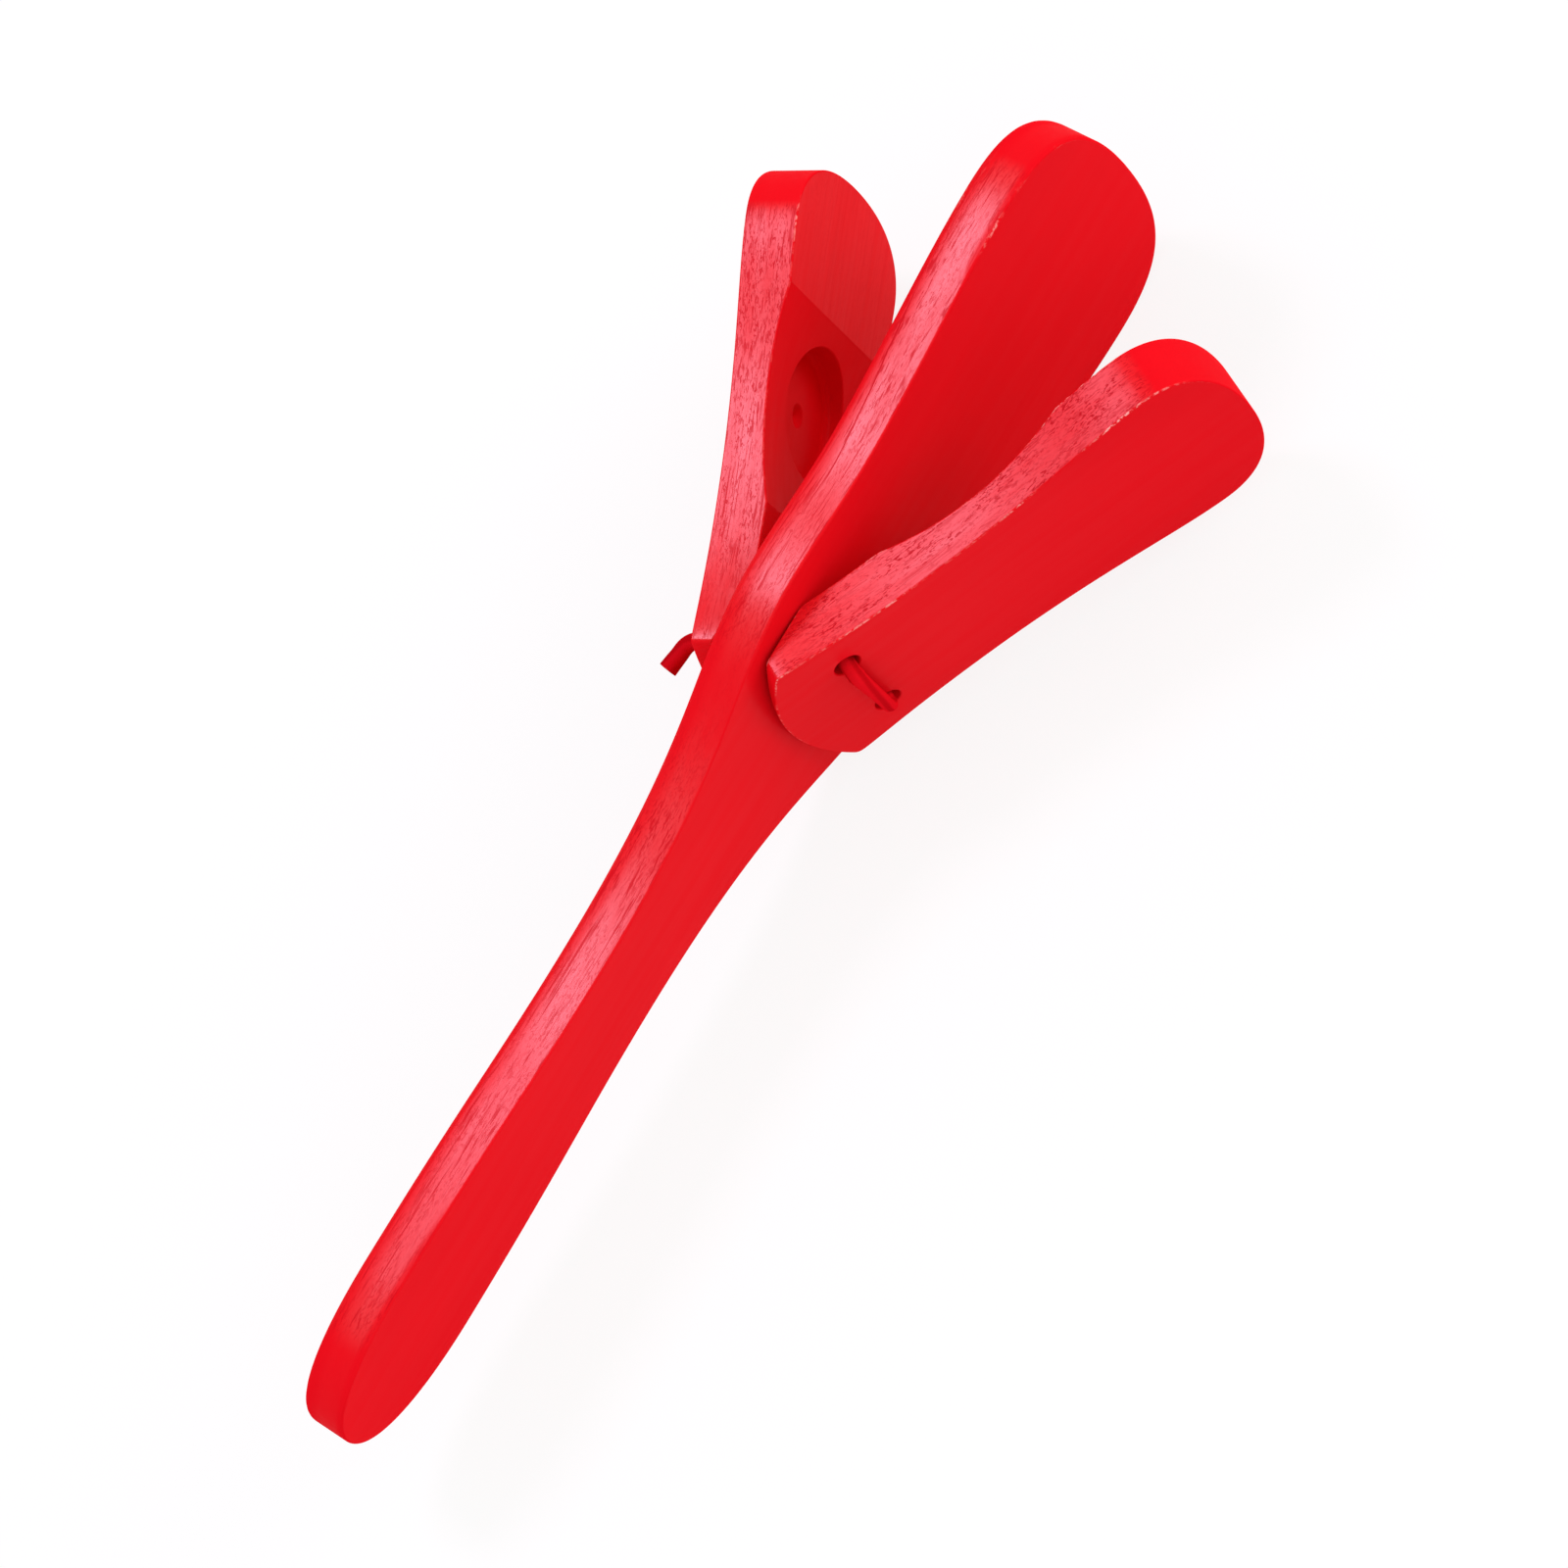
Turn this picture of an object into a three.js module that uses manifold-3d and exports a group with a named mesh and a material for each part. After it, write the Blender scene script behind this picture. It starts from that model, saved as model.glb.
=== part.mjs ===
// A handled wooden clapper: a centre board with a handle, and a leaf tied to each side of its head.
// Millimetres. The clapper stands on its long edge: X runs from the handle to the head, Y through
// the boards, Z across them. The leaves stand open and rock about their ridges, on upright axes.
import * as THREE from 'three';
import { mergeVertices } from 'three/addons/utils/BufferGeometryUtils.js';
import Module from 'manifold-3d';

// Centre board: its length, and the runs along it from the handle's end to the head's tip. The grip
// takes what the other runs leave.
const BOARD_LENGTH = 205.6;
const END_RUN = 22.3;
const FLARE_RUN = 59;
const WAIST_RUN = 17;
const HEAD_RUN = 41;
const TIP_RUN = 16.3;

// Centre board: full widths where those runs meet.
const GRIP_WIDTH = 21.6;
const NECK_WIDTH = 17.9;
const SHOULDER_WIDTH = 41.2;
const WAIST_WIDTH = 39.7;
const HEAD_WIDTH = 47.4;
const BOARD_THICK = 7.6;
const BOARD_ROUND = 1.5;

// Leaf: its length, and the runs along it from the bowed heel to the tip. Its middle takes the rest.
const LEAF_LENGTH = 77.1;
const HEEL_BOW = 4.7;
const HEEL_CORNER = 0.8;
const HEEL_RUN = 23;
const LEAF_TIP_RUN = 10.7;

// Leaf: full widths where those runs meet, how far its holes are off its middle, its thickness at the
// ridge, and how much it swells by the tip.
const HEEL_WIDTH = 32.2;
const LEAF_WAIST_WIDTH = 29;
const LEAF_WIDTH = 37.5;
const LEAF_OFF_AXIS = 0.2;
const LEAF_THICK = 7.5;
const LEAF_SWELL = 0.45;
const LEAF_ROUND = 0.4;

// Inner side of a leaf: the ridge that it rocks on, a flat land, a scoop and a clapping pad.
const RIDGE_FROM_HEEL = 12.7;
const BEVEL_DEG = 28.5;
const LAND_RUN = 12.8;
const SCOOP_RUN = 31;
const SCOOP_DEPTH = 2.1;

// Round hollow in the scoop, with the dimple of the drill's point in its floor.
const HOLLOW_FROM_RIDGE = 30.9;
const HOLLOW_OFF_AXIS = 1.2;
const HOLLOW_DIA = 19.2;
const HOLLOW_DEPTH = 2.4;
const HOLLOW_ROUND = 1.2;
const DIMPLE_DIA = 3.2;
const DIMPLE_DEPTH = 1.3;

// Tie: a cord through two holes in all three boards, on the leaves' ridges.
const TIE_BEHIND_SHOULDER = 2.7;
const HOLE_PITCH = 15.4;
const CORD_DIA = 2.5;
const HOLE_PLAY = 0.75;
const SEAT_GAP = 0.3;
const KNOT_GAP = 0.5;
const LONG_TAIL_BACK = 6.9;
const LONG_TAIL_OUT = 6.3;
const LONG_TAIL_UP = 1.2;
const SHORT_TAIL_ON = 7;
const SHORT_TAIL_DOWN = 12;

// How far each leaf stands open from the centre board, and how far the loose tie has let the rear
// leaf slip back towards the handle.
const SPLAY_DEG = 25.2;
const REAR_SLIP = 1;

const OUTLINE_STEPS = 14;
const ROUND_STEPS = 3;
const HOLE_SIDES = 24;
const HOLLOW_SIDES = 48;
const CORD_SIDES = 10;

const headAt = BOARD_LENGTH - TIP_RUN;
const waistAt = headAt - HEAD_RUN;
const shoulderAt = waistAt - WAIST_RUN;
const neckAt = shoulderAt - FLARE_RUN;
const tieAt = shoulderAt - TIE_BEHIND_SHOULDER;
const cordRadius = CORD_DIA / 2;
const holeRadius = cordRadius + HOLE_PLAY;
const splay = THREE.MathUtils.degToRad(SPLAY_DEG);
const bevel = THREE.MathUtils.degToRad(BEVEL_DEG);

const wasm = await Module();
wasm.setup();

function toSolid(geometry) {
  const bare = geometry.clone();
  bare.deleteAttribute('normal');
  bare.deleteAttribute('uv');
  const merged = mergeVertices(bare);
  const corners = merged.index.array;
  const kept = [];
  for (let i = 0; i < corners.length; i += 3) {
    const [a, b, c] = corners.slice(i, i + 3);
    if (a !== b && b !== c && c !== a) kept.push(a, b, c);
  }
  const vertProperties = new Float32Array(merged.attributes.position.array);
  const triVerts = new Uint32Array(kept);
  return new wasm.Manifold(new wasm.Mesh({ numProp: 3, vertProperties, triVerts }));
}

function toGeometry(solid) {
  const mesh = solid.getMesh();
  const geometry = new THREE.BufferGeometry();
  geometry.setAttribute('position', new THREE.BufferAttribute(mesh.vertProperties, 3));
  geometry.setIndex(new THREE.BufferAttribute(mesh.triVerts, 1));
  geometry.computeVertexNormals();
  return geometry;
}

// A closed outline, alike on both sides of its axis, through stations of [at, full width]. Each
// station is a widest or narrowest place, so the curve runs level there. lead and trail give how far
// along the run from one station to the next the curve keeps to each of them.
function smoothSide(stations) {
  const side = [];
  for (let i = 1; i < stations.length; i += 1) {
    const [a, b] = [stations[i - 1], stations[i]];
    const run = b.at - a.at;
    const curve = new THREE.CubicBezierCurve(
      new THREE.Vector2(a.at, a.width / 2),
      new THREE.Vector2(a.at + run * a.lead, a.width / 2),
      new THREE.Vector2(b.at - run * b.trail, b.width / 2),
      new THREE.Vector2(b.at, b.width / 2),
    );
    const points = curve.getPoints(OUTLINE_STEPS);
    side.push(...(i === 1 ? points : points.slice(1)));
  }
  return side;
}

// A rounded end between an axis point and the widest place beside it. full is 0.55 for an ellipse,
// and more for a squarer end.
function roundEnd(axisAt, wideAt, width, full) {
  const run = wideAt - axisAt;
  const curve = new THREE.CubicBezierCurve(
    new THREE.Vector2(axisAt, 0),
    new THREE.Vector2(axisAt, full * width / 2),
    new THREE.Vector2(wideAt - full * run, width / 2),
    new THREE.Vector2(wideAt, width / 2),
  );
  return curve.getPoints(OUTLINE_STEPS);
}

function mirrored(side) {
  const far = side.slice(1, -1).reverse().map((p) => new THREE.Vector2(p.x, -p.y));
  return new THREE.Shape([...side, ...far]);
}

// A board with its outline in X and Z, from y = 0 to y = thick, its edges rounded over.
function board(outline, thick, round) {
  const geometry = new THREE.ExtrudeGeometry(outline, {
    depth: thick - 2 * round,
    bevelEnabled: true,
    bevelThickness: round,
    bevelSize: round,
    bevelOffset: -round,
    bevelSegments: ROUND_STEPS,
    steps: 1,
  });
  geometry.rotateX(Math.PI / 2);
  geometry.translate(0, thick - round, 0);
  return geometry;
}

// A round cutter along Y, from y0 to y1.
function drill(x, z, radius, y0, y1, sides) {
  const geometry = new THREE.CylinderGeometry(radius, radius, y1 - y0, sides);
  geometry.translate(x, (y0 + y1) / 2, z);
  return toSolid(geometry);
}

// A round cutter along Y whose lower edge is rounded, as a cove bit leaves it.
function hollowCutter(floor, top) {
  const radius = HOLLOW_DIA / 2;
  const profile = [new THREE.Vector2(0, floor)];
  for (let i = 0; i <= ROUND_STEPS; i += 1) {
    const angle = Math.PI / 2 * i / ROUND_STEPS;
    const out = radius - HOLLOW_ROUND * (1 - Math.sin(angle));
    profile.push(new THREE.Vector2(out, floor + HOLLOW_ROUND * (1 - Math.cos(angle))));
  }
  profile.push(new THREE.Vector2(radius, top), new THREE.Vector2(0, top));
  return new THREE.LatheGeometry(profile, HOLLOW_SIDES);
}

function paddleGeometry() {
  const middle = smoothSide([
    { at: END_RUN, width: GRIP_WIDTH, lead: 0.5 },
    { at: neckAt, width: NECK_WIDTH, trail: 0.35, lead: 0.62 },
    { at: shoulderAt, width: SHOULDER_WIDTH, trail: 0.3, lead: 0.4 },
    { at: waistAt, width: WAIST_WIDTH, trail: 0.4, lead: 0.28 },
    { at: headAt, width: HEAD_WIDTH, trail: 0.3 },
  ]);
  const end = roundEnd(0, END_RUN, GRIP_WIDTH, 0.62);
  const tip = roundEnd(BOARD_LENGTH, headAt, HEAD_WIDTH, 0.72).reverse();
  const outline = mirrored([...end, ...middle.slice(1), ...tip.slice(1)]);
  let solid = toSolid(board(outline, BOARD_THICK, BOARD_ROUND).translate(0, -BOARD_THICK / 2, 0));
  for (const z of [HOLE_PITCH / 2, -HOLE_PITCH / 2]) {
    solid = solid.subtract(drill(tieAt, z, holeRadius, -BOARD_THICK, BOARD_THICK, HOLE_SIDES));
  }
  return toGeometry(solid);
}

// A leaf lies along X with its ridge on the Z axis. Its outer face is at y = -LEAF_THICK, and its
// land and pad at y = 0.
function leafGeometry() {
  const heelAt = -RIDGE_FROM_HEEL;
  const cornerAt = heelAt + HEEL_BOW;
  const waistAtLeaf = cornerAt + HEEL_RUN;
  const tipAt = heelAt + LEAF_LENGTH;
  const wideAt = tipAt - LEAF_TIP_RUN;

  const half = HEEL_WIDTH / 2;
  const bowRadius = (half * half + HEEL_BOW * HEEL_BOW) / (2 * HEEL_BOW);
  const bowAngle = Math.asin(half / bowRadius) - HEEL_CORNER / bowRadius;
  const heel = [];
  for (let i = 0; i <= OUTLINE_STEPS; i += 1) {
    const angle = bowAngle * i / OUTLINE_STEPS;
    const inward = bowRadius * (1 - Math.cos(angle));
    heel.push(new THREE.Vector2(heelAt + inward, bowRadius * Math.sin(angle)));
  }
  const corner = new THREE.QuadraticBezierCurve(
    heel[OUTLINE_STEPS],
    new THREE.Vector2(cornerAt, half),
    new THREE.Vector2(cornerAt + HEEL_CORNER, half),
  );
  heel.push(...corner.getPoints(2 * ROUND_STEPS).slice(1));
  const sides = smoothSide([
    { at: cornerAt + HEEL_CORNER, width: HEEL_WIDTH, lead: 0.12 },
    { at: waistAtLeaf, width: LEAF_WAIST_WIDTH, trail: 0.6, lead: 0.5 },
    { at: wideAt, width: LEAF_WIDTH, trail: 0.22 },
  ]);
  const tip = roundEnd(tipAt, wideAt, LEAF_WIDTH, 0.64).reverse();
  const outline = mirrored([...heel, ...sides.slice(1), ...tip.slice(1)]);
  const spare = 2 * LEAF_ROUND;
  const blank = board(outline, LEAF_THICK + spare, LEAF_ROUND).translate(0, -LEAF_THICK, LEAF_OFF_AXIS);
  const places = blank.attributes.position;
  for (let i = 0; i < places.count; i += 1) {
    const swell = LEAF_SWELL * places.getX(i) / tipAt;
    places.setY(i, places.getY(i) * (1 + swell / LEAF_THICK));
  }

  // What the planed heel, the scoop and the flats take off the inner side.
  const clear = LEAF_THICK;
  const scoopAt = LAND_RUN;
  const scoopEnd = LAND_RUN + SCOOP_RUN;
  const scoopRadius = (SCOOP_RUN * SCOOP_RUN / 4 + SCOOP_DEPTH * SCOOP_DEPTH) / (2 * SCOOP_DEPTH);
  const scoopAngle = Math.asin(SCOOP_RUN / 2 / scoopRadius);
  const above = new THREE.Shape();
  above.moveTo(heelAt - clear, (heelAt - clear) * Math.tan(bevel));
  above.lineTo(0, 0);
  above.lineTo(scoopAt, 0);
  above.absarc(
    (scoopAt + scoopEnd) / 2,
    scoopRadius - SCOOP_DEPTH,
    scoopRadius,
    -Math.PI / 2 - scoopAngle,
    -Math.PI / 2 + scoopAngle,
  );
  above.lineTo(tipAt + clear, 0);
  above.lineTo(tipAt + clear, clear);
  above.lineTo(heelAt - clear, clear);
  const span = 2 * Math.max(HEEL_WIDTH, LEAF_WIDTH);
  const plane = new THREE.ExtrudeGeometry(above, {
    depth: span,
    bevelEnabled: false,
    curveSegments: OUTLINE_STEPS,
  });
  plane.translate(0, 0, -span / 2);

  const floor = -SCOOP_DEPTH - HOLLOW_DEPTH;
  const dimple = new THREE.ConeGeometry(DIMPLE_DIA, 2 * DIMPLE_DEPTH, HOLE_SIDES / 2);
  dimple.rotateX(Math.PI);
  dimple.translate(HOLLOW_FROM_RIDGE, floor, HOLLOW_OFF_AXIS);
  const hollow = hollowCutter(floor, clear).translate(HOLLOW_FROM_RIDGE, 0, HOLLOW_OFF_AXIS);
  let solid = toSolid(blank).subtract(toSolid(plane));
  solid = solid.subtract(toSolid(hollow)).subtract(toSolid(dimple));
  for (const z of [HOLE_PITCH / 2, -HOLE_PITCH / 2]) {
    solid = solid.subtract(drill(0, z, holeRadius, -2 * LEAF_THICK, LEAF_THICK, HOLE_SIDES));
  }
  return toGeometry(solid);
}

function cordGeometry(path, steps) {
  const section = new THREE.Shape();
  section.absarc(0, 0, cordRadius, 0, 2 * Math.PI);
  return new THREE.ExtrudeGeometry(section, {
    steps,
    curveSegments: CORD_SIDES / 2,
    bevelEnabled: false,
    extrudePath: path,
  });
}

// Cord points are given as x along a leaf, out from its outer face, and z across it. The cord hugs
// the inner wall of each hole and turns over its rim.
const legZ = HOLE_PITCH / 2 - HOLE_PLAY + SEAT_GAP;
const overFace = cordRadius + SEAT_GAP;
const rimZ = legZ - overFace;
const turnSteps = 6;

// Where a leg stops inside a leaf, clear of the board's own leg as the leaf rocks.
const legEnd = -LEAF_THICK + cordRadius * Math.sin(splay) + SEAT_GAP / 2;

function rimTurn(side) {
  const points = [];
  for (let i = 0; i <= turnSteps; i += 1) {
    const angle = Math.PI / 2 * i / turnSteps;
    const z = side * (rimZ + overFace * Math.cos(angle));
    points.push(new THREE.Vector3(0, overFace * Math.sin(angle), z));
  }
  return points;
}

function leg(side) {
  return [new THREE.Vector3(0, legEnd, side * legZ), new THREE.Vector3(0, legEnd / 2, side * legZ)];
}

function frontLoopPath() {
  const upper = [...leg(1), ...rimTurn(1)];
  const lower = [...leg(-1), ...rimTurn(-1)].reverse();
  return [...upper, new THREE.Vector3(0, overFace, 0), ...lower];
}

// The knot behind the rear leaf is two hooked bights: each turns round the other at its own middle.
// It lies below the middle of the leaf, and the upper end stands out past the leaf's heel.
const bightRadius = CORD_DIA + KNOT_GAP;
const bightOut = overFace + bightRadius;
const lowerBightZ = -rimZ + KNOT_GAP;
const upperBightZ = lowerBightZ + bightRadius;

// Points from a bight's end to a tail's end, at given shares of the way along each axis.
function tail(from, to, shares) {
  return shares.map(([x, y, z]) => new THREE.Vector3(
    from.x + (to.x - from.x) * x,
    from.y + (to.y - from.y) * y,
    from.z + (to.z - from.z) * z,
  ));
}

function upperStrandPath() {
  const lead = new THREE.Vector3(0.64 * CORD_DIA, bightOut / 2, upperBightZ + 1.6 * CORD_DIA);
  const points = [...leg(1), ...rimTurn(1), lead];
  for (let i = 0; i <= 2 * turnSteps; i += 1) {
    const angle = Math.PI * i / (2 * turnSteps);
    const z = upperBightZ - bightRadius * Math.sin(angle);
    points.push(new THREE.Vector3(bightRadius * Math.cos(angle), bightOut, z));
  }
  const end = new THREE.Vector3(-LONG_TAIL_BACK, bightOut + LONG_TAIL_OUT, upperBightZ + LONG_TAIL_UP);
  const shares = [[-0.03, 0.12, 1], [-0.03, 0.32, 1.33], [0.15, 0.55, 1.17], [0.51, 0.79, 1.08], [1, 1, 1]];
  points.push(...tail(points[points.length - 1], end, shares));
  return points;
}

function lowerStrandPath() {
  const points = [...leg(-1), ...rimTurn(-1)];
  for (let i = 0; i <= 2 * turnSteps; i += 1) {
    const angle = Math.PI * i / (2 * turnSteps);
    const z = lowerBightZ + bightRadius * Math.sin(angle);
    points.push(new THREE.Vector3(0, bightOut - bightRadius * Math.cos(angle), z));
  }
  const end = new THREE.Vector3(SHORT_TAIL_ON, bightOut + bightRadius - CORD_DIA, -SHORT_TAIL_DOWN);
  points.push(...tail(points[points.length - 1], end, [[0.09, 0, 0.34], [0.4, 0.33, 0.67], [1, 1, 1]]));
  return points;
}

// Turns points beside a leaf's outer face into a curve: out is -Y on the front leaf, +Y on the rear.
function cordCurve(points, out) {
  const placed = points.map((p) => new THREE.Vector3(p.x, out * (LEAF_THICK + p.y), p.z));
  return new THREE.CatmullRomCurve3(placed, false, 'centripetal');
}

function boardLegCurve(side) {
  const reach = BOARD_THICK / 2;
  return new THREE.LineCurve3(
    new THREE.Vector3(tieAt, -reach, side * legZ),
    new THREE.Vector3(tieAt, reach, side * legZ),
  );
}

function lacquer(color, roughness) {
  return new THREE.MeshStandardMaterial({ color, roughness, metalness: 0 });
}

function named(name, geometry, material) {
  const mesh = new THREE.Mesh(geometry, material);
  mesh.name = name;
  return mesh;
}

const clapper = new THREE.Group();
clapper.position.set(-BOARD_LENGTH / 2, 0, Math.max(HEAD_WIDTH, SHOULDER_WIDTH, LEAF_WIDTH) / 2);

clapper.add(
  named('paddle', paddleGeometry(), lacquer('#d8111d', 0.42)),
  named('cord_upper_leg', cordGeometry(boardLegCurve(1), 2), lacquer('#c8101f', 0.5)),
  named('cord_lower_leg', cordGeometry(boardLegCurve(-1), 2), lacquer('#c8101f', 0.5)),
);

// Each leaf's ridge is seated on the centre board's face, over the holes.
const ridgeOut = BOARD_THICK / 2 + SEAT_GAP;

const front = new THREE.Group();
front.position.set(tieAt, -ridgeOut, 0);
front.rotation.z = -splay;
front.add(
  named('front_leaf', leafGeometry(), lacquer('#da1a24', 0.45)),
  named('cord_front_loop', cordGeometry(cordCurve(frontLoopPath(), -1), 56), lacquer('#c8101f', 0.5)),
);

const rear = new THREE.Group();
rear.position.set(tieAt - REAR_SLIP, ridgeOut, 0);
rear.rotation.z = splay;
const rearLeaf = named('rear_leaf', leafGeometry(), lacquer('#da1a24', 0.45));
rearLeaf.rotation.x = Math.PI;
rear.add(
  rearLeaf,
  named('cord_upper_strand', cordGeometry(cordCurve(upperStrandPath(), 1), 64), lacquer('#c8101f', 0.5)),
  named('cord_lower_strand', cordGeometry(cordCurve(lowerStrandPath(), 1), 64), lacquer('#c8101f', 0.5)),
);

clapper.add(front, rear);

export default clapper;
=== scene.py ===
import math

import bmesh
import bpy
from mathutils import Matrix, Vector
from mathutils.geometry import interpolate_bezier


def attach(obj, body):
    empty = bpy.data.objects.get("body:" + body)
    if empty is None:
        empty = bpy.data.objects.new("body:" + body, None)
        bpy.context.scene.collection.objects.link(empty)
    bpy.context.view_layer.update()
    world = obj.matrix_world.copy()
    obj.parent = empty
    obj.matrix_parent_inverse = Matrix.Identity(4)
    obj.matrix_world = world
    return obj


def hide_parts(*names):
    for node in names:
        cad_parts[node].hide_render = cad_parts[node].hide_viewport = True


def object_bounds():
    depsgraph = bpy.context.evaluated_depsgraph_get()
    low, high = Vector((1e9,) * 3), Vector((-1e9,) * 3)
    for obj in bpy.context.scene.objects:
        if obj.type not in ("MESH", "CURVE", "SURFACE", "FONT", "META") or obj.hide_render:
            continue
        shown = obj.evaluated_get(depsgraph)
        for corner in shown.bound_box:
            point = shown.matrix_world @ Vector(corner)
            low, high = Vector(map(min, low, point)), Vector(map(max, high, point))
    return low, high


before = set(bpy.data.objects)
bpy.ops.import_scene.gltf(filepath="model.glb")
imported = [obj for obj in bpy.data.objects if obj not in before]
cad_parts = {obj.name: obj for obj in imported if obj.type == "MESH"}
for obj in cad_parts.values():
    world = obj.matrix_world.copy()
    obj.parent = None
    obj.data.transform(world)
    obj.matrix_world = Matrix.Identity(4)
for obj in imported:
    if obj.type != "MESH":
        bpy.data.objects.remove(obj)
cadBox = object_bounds()
print("frame loaded:", ", ".join(sorted(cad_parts)))

mm = 0.001
scene = bpy.context.scene
scene.view_settings.view_transform = "Standard"
for name in ("Cube", "Light", "Camera"):
    if name in bpy.data.objects:
        bpy.data.objects.remove(bpy.data.objects[name])


def linked(name, data):
    thing = bpy.data.objects.new(name, data)
    scene.collection.objects.link(thing)
    return thing


def evaluatedMesh(piece):
    bpy.context.view_layer.update()
    graph = bpy.context.evaluated_depsgraph_get()
    return bpy.data.meshes.new_from_object(piece.evaluated_get(graph))


def shadeSmooth(mesh, sharpFrom):
    for polygon in mesh.polygons:
        polygon.use_smooth = True
    mesh.set_sharp_from_angle(angle=math.radians(sharpFrom))


# shader nodes: a number sets its socket, anything else is linked to it
def maths(tree, how, a, b):
    node = tree.nodes.new("ShaderNodeMath")
    node.operation = how
    for socket, value in zip(node.inputs, (a, b)):
        if isinstance(value, (int, float)):
            socket.default_value = value
        else:
            tree.links.new(value, socket)
    return node.outputs[0]


def product(tree, value, *others):
    for other in others:
        value = maths(tree, "MULTIPLY", value, other)
    return value


def ramp(tree, value, span, toLow=0.0, toHigh=1.0):
    node = tree.nodes.new("ShaderNodeMapRange")
    node.interpolation_type = "SMOOTHSTEP"
    limits = {"From Min": span[0], "From Max": span[1], "To Min": toLow, "To Max": toHigh}
    for label, number in limits.items():
        node.inputs[label].default_value = number
    tree.links.new(value, node.inputs["Value"])
    return node.outputs["Result"]


def mmRamp(tree, value, span, toLow=0.0, toHigh=1.0):
    return ramp(tree, value, (span[0] * mm, span[1] * mm), toLow, toHigh)


def axes(tree, vector):
    apart = tree.nodes.new("ShaderNodeSeparateXYZ")
    tree.links.new(vector, apart.inputs[0])
    return apart.outputs


def attribute(tree, name):
    node = tree.nodes.new("ShaderNodeAttribute")
    node.attribute_name = name
    return node.outputs["Fac"]


def colorMix(tree, factor, a, b):
    mix = tree.nodes.new("ShaderNodeMix")
    mix.data_type = "RGBA"
    tree.links.new(factor, mix.inputs["Factor"])
    for label, value in (("A", a), ("B", b)):
        if isinstance(value, tuple):
            mix.inputs[label].default_value = value
        else:
            tree.links.new(value, mix.inputs[label])
    return mix.outputs["Result"]


# noise at a scale in cells per metre along x, y and z; a span turns it into a mask
def stretched(tree, vector, s):
    turn = tree.nodes.new("ShaderNodeMapping")
    turn.inputs["Scale"].default_value = s["scale"]
    noise = tree.nodes.new("ShaderNodeTexNoise")
    noise.inputs["Scale"].default_value = 1.0
    noise.inputs["Detail"].default_value = s["detail"]
    noise.inputs["Roughness"].default_value = s.get("rough", 0.5)
    noise.inputs["Distortion"].default_value = s.get("swirl", 0.0)
    tree.links.new(vector, turn.inputs["Vector"])
    tree.links.new(turn.outputs["Vector"], noise.inputs["Vector"])
    if "span" not in s:
        return noise.outputs["Fac"]
    return ramp(tree, noise.outputs["Fac"], s["span"], s.get("least", 0.0))


cameraSet = {
    "place": (-0.04125, -0.37170, 0.70695),
    "right": (0.5196, -0.7682, -0.3740),
    "up": (0.8523, 0.4356, 0.2894),
    "lens": 129.88,
    "sensor": 36.0,
    "farClip": 50.0,
}


def makeCamera(s):
    data = bpy.data.cameras.new("viewCamera")
    data.lens = s["lens"]
    data.sensor_width = s["sensor"]
    data.clip_end = s["farClip"]
    camera = linked("viewCamera", data)
    right = Vector(s["right"]).normalized()
    up = Vector(s["up"])
    up = (up - right * up.dot(right)).normalized()
    turn = Matrix((right, up, right.cross(up))).transposed()
    camera.matrix_world = Matrix.Translation(s["place"]) @ turn.to_4x4()
    scene.camera = camera


lampSet = {
    # towards: where the lamp stands as seen from the clapper
    "overheadBox": {"towards": (0.07, 0.47, 0.88), "away": 0.95, "size": (0.24, 0.22),
                    "watts": 3.3, "color": (0.90, 0.76, 1.0)},
    "tipFill": {"towards": (0.84, -0.40, 0.37), "away": 1.4, "size": (1.1, 0.9),
                "watts": 9.4, "color": (1.0, 0.99, 0.98)},
    "frontFill": {"towards": (-0.35, -0.85, 0.50), "away": 1.4, "size": (1.3, 1.1),
                  "watts": 2.0, "color": (1.0, 0.98, 0.97)},
    "handleFill": {"towards": (-0.75, -0.20, 0.63), "away": 1.4, "size": (1.1, 0.9),
                   "watts": 2.2, "color": (1.0, 0.98, 0.97)},
}


def makeLamps(lamps, aim):
    for name, s in lamps.items():
        data = bpy.data.lights.new(name, "AREA")
        data.shape = "RECTANGLE"
        data.size, data.size_y = s["size"]
        data.energy = s["watts"]
        data.color = s["color"]
        lamp = linked(name, data)
        towards = Vector(s["towards"]).normalized()
        lamp.location = aim + towards * s["away"]
        lamp.rotation_mode = "QUATERNION"
        lamp.rotation_quaternion = towards.to_track_quat("Z", "Y")


# 1 for the rays that show a background: to the camera, in reflections and through glass
def seenRays(tree):
    path = tree.nodes.new("ShaderNodeLightPath")
    seen = path.outputs["Is Camera Ray"]
    for ray in ("Is Glossy Ray", "Is Transmission Ray"):
        seen = maths(tree, "MAXIMUM", seen, path.outputs[ray])
    return seen


# strength of the white world as a light, and where it is seen
roomSet = {"ambient": 0.68, "seen": 1.0, "color": (1, 1, 1, 1)}


def makeRoom(s):
    world = bpy.data.worlds.new("paleRoom")
    world.use_nodes = True
    scene.world = world
    tree = world.node_tree
    tree.nodes.clear()
    background = tree.nodes.new("ShaderNodeBackground")
    background.inputs["Color"].default_value = s["color"]
    level = tree.nodes.new("ShaderNodeMapRange")
    level.inputs["To Min"].default_value = s["ambient"]
    level.inputs["To Max"].default_value = s["seen"]
    tree.links.new(seenRays(tree), level.inputs["Value"])
    tree.links.new(level.outputs["Result"], background.inputs["Strength"])
    out = tree.nodes.new("ShaderNodeOutputWorld")
    tree.links.new(background.outputs[0], out.inputs["Surface"])


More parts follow.
